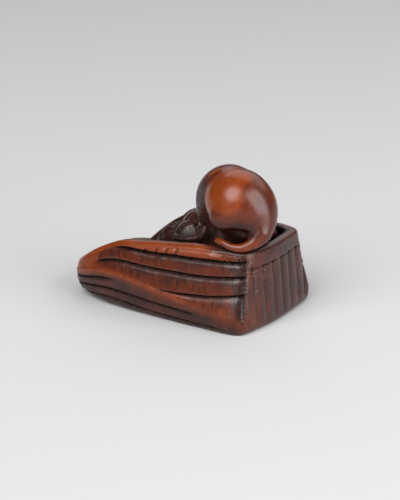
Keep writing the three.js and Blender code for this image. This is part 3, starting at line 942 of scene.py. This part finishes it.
def limb(path, radii, sides=LIMB_SIDES, steps=LIMB_STEPS):
    """A round form along a smooth path, with its own radius at each of the path's points."""
    t = np.linspace(0, 1, steps + 1)
    middle = through_values(path, t)
    along = np.gradient(middle, axis=0)
    along /= np.linalg.norm(along, axis=1, keepdims=True)
    across = np.empty_like(along)
    first = np.cross(along[0], (0.0, 0.0, 1.0))
    across[0] = first / np.linalg.norm(first)
    for k in range(1, steps + 1):
        v = across[k - 1] - along[k] * np.dot(across[k - 1], along[k])
        across[k] = v / np.linalg.norm(v)
    other = np.cross(along, across)
    radius = through_values(radii, t)
    rings = [(0, (k / CAP_RINGS - 1) * math.pi / 2) for k in range(CAP_RINGS + 1)]
    rings += [(k, 0.0) for k in range(1, steps)]
    rings += [(steps, (k / CAP_RINGS) * math.pi / 2) for k in range(CAP_RINGS + 1)]
    angle = np.arange(sides) / sides * FULL_TURN
    places = np.empty((len(rings), sides, 3))
    for j, (k, tilt) in enumerate(rings):
        out = radius[k] * (0 if j in (0, len(rings) - 1) else math.cos(tilt))
        centre = middle[k] + along[k] * radius[k] * math.sin(tilt)
        places[j] = centre + out * (np.outer(np.cos(angle), across[k]) + np.outer(np.sin(angle), other[k]))
    return closed_shell("limb", places)


def swell(path, radii, count=SWELL_BALLS):
    """A fleshy form: balls strung close along a path, for a limb that is thick where it bends."""
    t = np.linspace(0, 1, count)
    middles, sizes = through_values(path, t), through_values(radii, t)
    return [ball(middle, (size,) * 3, detail=SWELL_SIDES) for middle, size in zip(middles, sizes)]


def melted(name, pieces, voxel, rounds):
    """Several forms grown into one skin, with the joins between them softened."""
    return with_modifiers(
        joined(name, pieces),
        ("REMESH", {"mode": "VOXEL", "voxel_size": voxel, "adaptivity": 0.0}),
        ("SMOOTH", {"factor": 0.5, "iterations": rounds}),
    )


def neighbour_mean(mesh):
    """A function that gives each vertex the mean of its neighbours' values."""
    count = len(mesh.vertices)
    edges = np.empty(len(mesh.edges) * 2, np.int32)
    mesh.edges.foreach_get("vertices", edges)
    a, b = edges.reshape(-1, 2).T
    degree = np.maximum(np.bincount(a, minlength=count) + np.bincount(b, minlength=count), 1)

    def mean(values):
        columns = values.reshape(count, -1).T
        sums = [np.bincount(a, c[b], count) + np.bincount(b, c[a], count) for c in columns]
        return (np.stack(sums, 1) / degree[:, None]).reshape(values.shape)

    return mean


def soften(piece, share, rounds):
    """Smooths the skin, each vertex by its own share."""
    mean = neighbour_mean(piece.data)
    places = vertex_places(piece.data)
    step = share(places)[:, None] * SOFTEN_STEP
    for _ in range(rounds):
        places += step * (mean(places) - places)
    set_places(piece.data, places)


def near_point(places, point, reach):
    """1 at a point, falling smoothly to 0 at its reach."""
    away = np.linalg.norm((places - np.array(point)) / reach, axis=1)
    return 1 - smooth(NEAR_POINT_CORE, 1.0, away)


def body_softness(places):
    """How far joins melt away: the haunch flows into back and rump, but stays clear of the torso's side."""
    soft = np.maximum(smooth(*SOFT_TOP, places[:, 2]), smooth(*SOFT_BACK, places[:, 0]))
    return soft * (1 - near_point(places, FOOT_HOLLOW, FOOT_HOLLOW_REACH)) + LEAST_SOFTNESS


def rat_piece():
    core = swell(*TORSO) + [ball(*form) for form in (RUMP, FAR_HAUNCH, BELLY, CHEST)]
    body = melted("body", core, *BODY_MELT)
    leg = melted("leg", swell(*HAUNCH_SWELL, count=HAUNCH_BALLS) + swell(*KNEE), *LEG_MELT)
    mass = melted("mass", [body, leg], *BODY_AND_LEG_MELT)
    scoop = ball(*FOOT_SCOOP)
    mass = with_modifiers(mass, boolean("DIFFERENCE", scoop))
    bpy.data.objects.remove(scoop)
    mass = melted("mass", [mass], *SCOOPED_MELT)
    soften(mass, body_softness, SOFTEN_ROUNDS)
    head = melted("head", swell(*HEAD) + swell(*SNOUT), *HEAD_MELT)
    foot = swell(*NEAR_FOOT, count=FOOT_BALLS)
    thin_forms = (BROW, CHEEK_LINE, NEAR_FORELEG, FAR_HIND_FOOT, FAR_FORELEG, TAIL)
    limbs = [limb(*form) for form in thin_forms]
    ears = [leaf(*ear) for ear in (NEAR_EAR, FAR_EAR)]
    return thinned(melted("rat", [mass, head, *foot, *limbs, *ears], *RAT_MELT), RAT_TRIANGLES)


# ---- carving ---------------------------------------------------------------------------------------
def cord_tunnel():
    half = CORD_HOLE_SPACING / 2
    bend = [
        [CORD_HOLES_X, -half - CORD_TUNNEL_SPLAY, CORD_TUNNEL_START],
        [CORD_HOLES_X, -half, CORD_TUNNEL_BEND],
        [CORD_HOLES_X, 0, CORD_TUNNEL_HEIGHT],
        [CORD_HOLES_X, half, CORD_TUNNEL_BEND],
        [CORD_HOLES_X, half + CORD_TUNNEL_SPLAY, CORD_TUNNEL_START],
    ]
    return limb(bend, [KNOT_HOLE_RADIUS, KNOT_HOLE_RADIUS] + [CORD_HOLE_RADIUS] * 3)


def carving():
    """Rat and basket as one body, and what its finish is read from."""
    basket, basket_places, basket_finish = basket_piece()
    basket = thinned(basket, BASKET_TRIANGLES)
    rat = rat_piece()
    rat_places = vertex_places(rat.data)
    tunnel = cord_tunnel()
    piece = with_modifiers(basket, boolean("UNION", rat), boolean("DIFFERENCE", tunnel))
    bpy.data.objects.remove(rat)
    bpy.data.objects.remove(tunnel)
    return piece, basket_places, basket_finish, rat_places


# ---- wear, grime, and shelter painted as shade -----------------------------------------------------
def occlusion(mesh):
    """Share of each vertex's outlook that other parts of the carving close off within reach; the material
    paints it as shade, near black where most is closed.
    """
    places, normals = vertex_places(mesh), vertex_normals(mesh)
    bm = bmesh.new()
    bm.from_mesh(mesh)
    tree = BVHTree.FromBMesh(bm)
    bm.free()
    ways = np.random.default_rng(SHELTER_SEED).normal(size=(SHELTER_RAYS, 3))
    ways /= np.linalg.norm(ways, axis=1, keepdims=True)
    closed = np.zeros(len(places))
    cast = tree.ray_cast
    for k, (place, normal) in enumerate(zip(places, normals)):
        origin = Vector(place + normal * SHELTER_LIFT)
        hits = [cast(origin, Vector(way + normal * SHELTER_SPREAD), SHELTER_REACH)[0] for way in ways]
        closed[k] = sum(hit is not None for hit in hits) / SHELTER_RAYS
    return closed


def nearest(places, wanted):
    """For each wanted place, the index of the nearest known place and its distance."""
    tree = kdtree.KDTree(len(places))
    for k, place in enumerate(places):
        tree.insert(place, k)
    tree.balance()
    found = [tree.find(place)[1:] for place in wanted]
    return np.array([index for index, _ in found]), np.array([away for _, away in found])


def off_path(places, path, radii):
    """How far each place stands off the skin of a form along a path."""
    t = np.linspace(0, 1, PATH_SAMPLES)
    off = np.full(len(places), np.inf)
    for middle, size in zip(through_values(path, t), through_values(radii, t)):
        off = np.minimum(off, np.linalg.norm(places - middle, axis=1) - size)
    return off


def leg_wear(places, right, up):
    """Rubbed wood on the near haunch and knee: a pale face, partly a painted highlight, an arc round it, and
    the crown.
    """
    off_leg = np.minimum(off_path(places, *HAUNCH_SWELL), off_path(places, *KNEE))
    on_leg = smooth(*ON_SKIN, np.minimum(off_leg, off_path(places, *NEAR_FOOT)))
    near_half = smooth(*NEAR_HALF, places[:, 1])
    around = np.hypot(right, up)
    haunch = smooth(*HAUNCH_WEAR_HEIGHT, places[:, 2]) * smooth(*HAUNCH_WEAR_RIGHT, right)
    pale = smooth(*PALE_EDGE, np.hypot((right - PALE_AT[0]) / PALE_SIZE[0], (up - PALE_AT[1]) / PALE_SIZE[1]))
    arc = smooth(*ARC_INNER, around) * smooth(*ARC_OUTER, around)
    arc = arc * smooth(*ARC_RIGHT, right) * smooth(*ARC_FOOT, up)
    from_crown = np.hypot((right - CROWN_AT[0]) / CROWN_SIZE[0], (up - CROWN_AT[1]) / CROWN_SIZE[1])
    face = on_leg * np.maximum(HAUNCH_WEAR * haunch + PALE_WEAR_AND_HIGHLIGHT * pale, ARC_WEAR * arc * near_half)
    return np.maximum(face, CROWN_WEAR * smooth(*CROWN_EDGE, from_crown) * near_half)


def patch_wear(places):
    """A small long patch at the shoulder, rubbed through to pale wood."""
    from_patch = places - SHOULDER_PATCH
    along = from_patch @ np.array(SHOULDER_PATCH_WAY)
    across = np.linalg.norm(from_patch - np.outer(along, SHOULDER_PATCH_WAY), axis=1)
    away = np.hypot(along / SHOULDER_PATCH_LENGTH, across / SHOULDER_PATCH_WIDTH)
    return PATCH_WEAR * smooth(*SHOULDER_PATCH_EDGE, away)


def rat_wear(places):
    """How far handling has rubbed the rat's stain: 0.5 is red brown, 1 is orange, more is pale; on the
    haunch's face the pale is partly a painted highlight.
    """
    _, y, z = places.T
    right = (places - HAUNCH) @ FACE_RIGHT / HAUNCH_RADIUS
    up = (places - HAUNCH) @ FACE_UP / HAUNCH_RADIUS
    near_half = smooth(*NEAR_HALF, y)
    on_foot = smooth(*FOOT_SKIN, off_path(places, *NEAR_FOOT))
    foot = on_foot * smooth(*FOOT_WEAR_HEIGHT, z) * smooth(*FOOT_WEAR_SIDE, y)
    on_back = BACK_OF_RAT_WEAR * smooth(*BACK_OF_RAT_HEIGHT, z) * near_half
    on_rump = RUMP_WEAR * smooth(*RUMP_RIGHT, right) * near_half
    unworn = np.full(len(places), UNWORN)
    leg = leg_wear(places, right, up)
    return np.maximum.reduce([leg, on_back, on_rump, unworn, FOOT_WEAR * foot, patch_wear(places)])


def rat_grime(places):
    """Old dirt: in the hollow between haunch and foot, where it is also painted shade, round the paws, and
    over head and torso.
    """
    x, _, z = places.T
    hollow_grime_and_shade, *hollow = HOLLOW_GRIME_AND_SHADE
    paw_grime, *paws = PAW_GRIME
    off_leg = np.minimum(off_path(places, *HAUNCH_SWELL), off_path(places, *KNEE))
    in_hollow = near_point(places, *hollow) * smooth(*CLEAN_SKIN, off_path(places, *NEAR_FOOT))
    on_head = smooth(*HEAD_BELOW, z) * smooth(*HEAD_BEFORE, x)
    on_torso = smooth(*TORSO_BEFORE, x) * smooth(*TORSO_BELOW, z) * smooth(*TORSO_OFF_LEG, off_leg)
    return np.maximum.reduce([
        hollow_grime_and_shade * in_hollow,
        paw_grime * near_point(places, *paws),
        HEAD_GRIME * on_head,
        TORSO_GRIME * on_torso,
    ])


def set_finish(mesh, basket_places, basket_finish, rat_places):
    """Gives each vertex its wear (1 is rubbed to orange, more is paler, on the haunch's face partly a painted
    highlight), grime (with painted shadow under the hind foot and painted shade in the haunch's hollow),
    shelter (painted shade from occlusion, with the basket's dark cuts and its painted inside shade) and
    weave.
    """
    places = vertex_places(mesh)
    at, off = nearest(basket_places, places)
    _, rat_off = nearest(rat_places, places)
    on_rat = rat_off < off
    worn, grime, weave, cut_dark_and_shade = basket_finish[at].T
    values = {
        "wear": np.where(on_rat, rat_wear(places), worn),
        "grime": np.where(on_rat, rat_grime(places), grime),
        # Shelter is painted as shade: the material darkens it to near black; on the basket it also holds the
        # dark of the cuts and the painted shade inside.
        "shelter": np.maximum(occlusion(mesh), np.where(on_rat, 0.0, cut_dark_and_shade)),
        "weave": np.where(on_rat, 0.0, weave),
    }
    for name, value in values.items():
        layer = mesh.attributes.new(name, "FLOAT", "POINT")
        layer.data.foreach_set("value", np.clip(value, 0, MOST_WEAR).astype(np.float32))


# ---- materials -------------------------------------------------------------------------------------
def linear(code):
    """An sRGB hex colour as linear red, green, blue and full opacity."""
    parts = [int(code[k : k + 2], 16) / 255 for k in (1, 3, 5)]
    return tuple(c / 12.92 if c <= 0.04045 else ((c + 0.055) / 1.055) ** 2.4 for c in parts) + (1.0,)


def add_node(tree, kind, inputs=None, **settings):
    """Adds a node: settings are its own, inputs are socket values or other nodes' outputs."""
    new = tree.nodes.new(kind)
    for key, value in settings.items():
        setattr(new, key, value)
    for key, value in (inputs or {}).items():
        if isinstance(value, bpy.types.NodeSocket):
            tree.links.new(value, new.inputs[key])
        else:
            new.inputs[key].default_value = value
    return new


def new_material(name):
    material = bpy.data.materials.new(name)
    material.use_nodes = True
    material.node_tree.nodes.clear()
    return material, material.node_tree


def blend(tree, share, low, high):
    """A colour between two, by a share that varies over the surface."""
    low, high = (linear(c) if isinstance(c, str) else c for c in (low, high))
    return add_node(tree, "ShaderNodeMix", {0: share, 6: low, 7: high}, data_type="RGBA").outputs[2]


def ramp(tree, value, low, high, to_low=0.0, to_high=1.0):
    sockets = {"Value": value, "From Min": low, "From Max": high, "To Min": to_low, "To Max": to_high}
    return add_node(tree, "ShaderNodeMapRange", sockets, interpolation_type="SMOOTHSTEP").outputs[0]


def combined(tree, operation, a, b):
    return add_node(tree, "ShaderNodeMath", {0: a, 1: b}, operation=operation).outputs[0]


def attribute(tree, name):
    return add_node(tree, "ShaderNodeAttribute", attribute_name=name).outputs["Fac"]


def speckle(tree, place, size_mm, detail=3.0):
    """Noise whose blotches are about size_mm across."""
    sockets = {"Vector": place, "Scale": 1 / (size_mm * MM), "Detail": detail}
    return add_node(tree, "ShaderNodeTexNoise", sockets).outputs["Fac"]


def bare_wood(tree, place, patches, mottle):
    """Stain, rubbed through red brown and orange to the pale wood itself (on the haunch's face also a painted
    highlight), with pores and weave marks.
    """
    uneven = ramp(tree, patches, 0.3, 0.7, -UNEVEN_WEAR, UNEVEN_WEAR)
    rubbed = combined(tree, "ADD", attribute(tree, "wear"), uneven)
    stain = blend(tree, ramp(tree, patches, 0.35, 0.65), *STAIN)
    red = blend(tree, ramp(tree, mottle, 0.3, 0.7), *RED_BROWN)
    orange = blend(tree, ramp(tree, mottle, 0.3, 0.7), *ORANGE)
    wood = blend(tree, ramp(tree, rubbed, 0.05, 0.5), stain, red)
    wood = blend(tree, ramp(tree, rubbed, 0.5, 0.95), wood, orange)
    # Past 1, pale: rubbed wood at the shoulder, and a painted highlight on the haunch's face.
    wood = blend(tree, ramp(tree, rubbed, 1.0, 1.45), wood, PALE_WOOD_AND_HIGHLIGHT)
    pores = ramp(tree, speckle(tree, place, PORE_SIZE, 1.0), 0.70, 0.78)
    wood = blend(tree, combined(tree, "MULTIPLY", pores, ramp(tree, patches, 0.45, 0.6)), wood, PORE)
    stretched = add_node(tree, "ShaderNodeMapping", {"Vector": place, "Scale": MARK_STRETCH}).outputs[0]
    marks = ramp(tree, speckle(tree, stretched, MARK_SIZE, 2.0), 0.5, 0.66)
    marks = combined(tree, "MULTIPLY", marks, attribute(tree, "weave"))
    marks = combined(tree, "MULTIPLY", marks, ramp(tree, mottle, 0.35, 0.5))
    return blend(tree, marks, wood, WEAVE_MARK)


# Stained boxwood, hand polished: a dark purplish stain in hard close-grained wood, rubbed through
# red brown to orange where hands reach it, with dull grey-brown grime in the cuts. Boxwood's pores
# are too fine to show, so the few here are drawn about ten times coarser, and the dust's grit is
# coarser too.
# Light and shade are painted in too: near black painted shade in recesses and inside the basket, a painted
# shadow under the hind foot, and a pale painted highlight on the haunch's face.
def stained_boxwood():
    material, tree = new_material("stained_boxwood_polished")
    place = add_node(tree, "ShaderNodeTexCoord").outputs["Object"]
    patches = speckle(tree, place, PATCH_SIZE)
    mottle = speckle(tree, place, MOTTLE_SIZE)
    # Painted shade: where the outlook is closed, and inside the basket, the colour goes to near black; in the
    # cuts this is their dark stain.
    painted_shade_and_cut_dark = ramp(tree, attribute(tree, "shelter"), 0.5, 0.95)
    wood = blend(tree, painted_shade_and_cut_dark, bare_wood(tree, place, patches, mottle), CUT_DARK_AND_PAINTED_SHADE)
    dust = blend(tree, ramp(tree, mottle, 0.35, 0.65), *DUST)
    dust = blend(tree, painted_shade_and_cut_dark, dust, CUT_DARK_AND_PAINTED_SHADE)
    grit = ramp(tree, speckle(tree, place, GRIT_SIZE, 2.0), 0.35, 0.65, -GRITTY, GRITTY)
    dirty = ramp(tree, combined(tree, "ADD", attribute(tree, "grime"), grit), 0.15, 0.95)
    polish = {"Base Color": wood, "Roughness": POLISH_ROUGHNESS, "IOR": BOXWOOD_IOR}
    polished = add_node(tree, "ShaderNodeBsdfPrincipled", polish)
    matt = add_node(tree, "ShaderNodeBsdfDiffuse", {"Color": dust, "Roughness": DUST_ROUGHNESS})
    surface = add_node(tree, "ShaderNodeMixShader", {0: dirty, 1: polished.outputs[0], 2: matt.outputs[0]})
    add_node(tree, "ShaderNodeOutputMaterial", {"Surface": surface.outputs[0]})
    return material


# Matt pale paper, as a seamless studio sweep: even and free of gloss.
def pale_paper():
    material, tree = new_material("pale_paper_matt")
    matt = {"Base Color": linear(PAPER), "Roughness": PAPER_ROUGHNESS}
    shader = add_node(tree, "ShaderNodeBsdfPrincipled", matt)
    add_node(tree, "ShaderNodeOutputMaterial", {"Surface": shader.outputs[0]})
    return material


# ---- studio ----------------------------------------------------------------------------------------
def floor_piece():
    bm = bmesh.new()
    bmesh.ops.create_grid(bm, x_segments=1, y_segments=1, size=FLOOR_SIDE / 2)
    floor = new_object("floor", finished_mesh("floor", bm))
    floor.data.materials.append(pale_paper())
    return floor


def way_round(azimuth, elevation):
    """The way out from the object to a place round it: azimuth 0 is in front (-Y)."""
    az, el = math.radians(azimuth), math.radians(elevation)
    return Vector((math.sin(az) * math.cos(el), -math.cos(az) * math.cos(el), math.sin(el)))


def aimed(name, data, place, target):
    thing = bpy.data.objects.new(name, data)
    thing.location = place
    thing.rotation_euler = (Vector(target) - Vector(place)).to_track_quat("-Z", "Y").to_euler()
    bpy.context.scene.collection.objects.link(thing)
    return thing


def soft_light(name, shape, azimuth, elevation, distance, width, height, power):
    light = bpy.data.lights.new(name, "AREA")
    light.shape = shape
    light.size, light.size_y, light.energy = width, height, power
    place = Vector(LIGHTS_TARGET) + way_round(azimuth, elevation) * distance
    aimed(name, light, place, LIGHTS_TARGET)


def studio_air():
    world = bpy.data.worlds.new("studio_air")
    world.use_nodes = True
    air = world.node_tree.nodes["Background"]
    air.inputs["Color"].default_value = linear(AIR_COLOUR)
    air.inputs["Strength"].default_value = AIR_STRENGTH
    bpy.context.scene.world = world


def view_camera(middle_x):
    back = way_round(VIEW_AZIMUTH, VIEW_ELEVATION)
    right = way_round(VIEW_AZIMUTH + 90, 0)
    aim = Vector(AIM) + Vector((middle_x, 0, 0)) + right * AIM_RIGHT - back.cross(right) * AIM_DOWN
    lens = bpy.data.cameras.new("view")
    lens.lens = LENS
    lens.sensor_width = SENSOR_WIDTH
    lens.clip_start = NEAREST_SEEN
    bpy.context.scene.camera = aimed("view", lens, aim + back * VIEW_DISTANCE, aim)


bpy.context.scene.view_settings.view_transform = "Standard"
cad_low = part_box("netsuke")[0]
middle_x = cad_low.x + FRONT_REACH * MM
piece, basket_places, basket_finish, rat_places = carving()
set_finish(piece.data, basket_places, basket_finish, rat_places)
piece.name = piece.data.name = "netsuke_carving"
set_places(piece.data, vertex_places(piece.data) * MM + (middle_x, 0, 0))
piece.data.shade_smooth()
piece.data.materials.clear()
piece.data.materials.append(stained_boxwood())
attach(piece, "root")
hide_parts("netsuke")
floor = floor_piece()
floor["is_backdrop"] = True
studio_air()
for light in LIGHTS:
    soft_light(*light)
view_camera(middle_x)

boxes = {"cad": cad_box, "visual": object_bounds()}
{name: [list(corner) for corner in box] for name, box in boxes.items()}
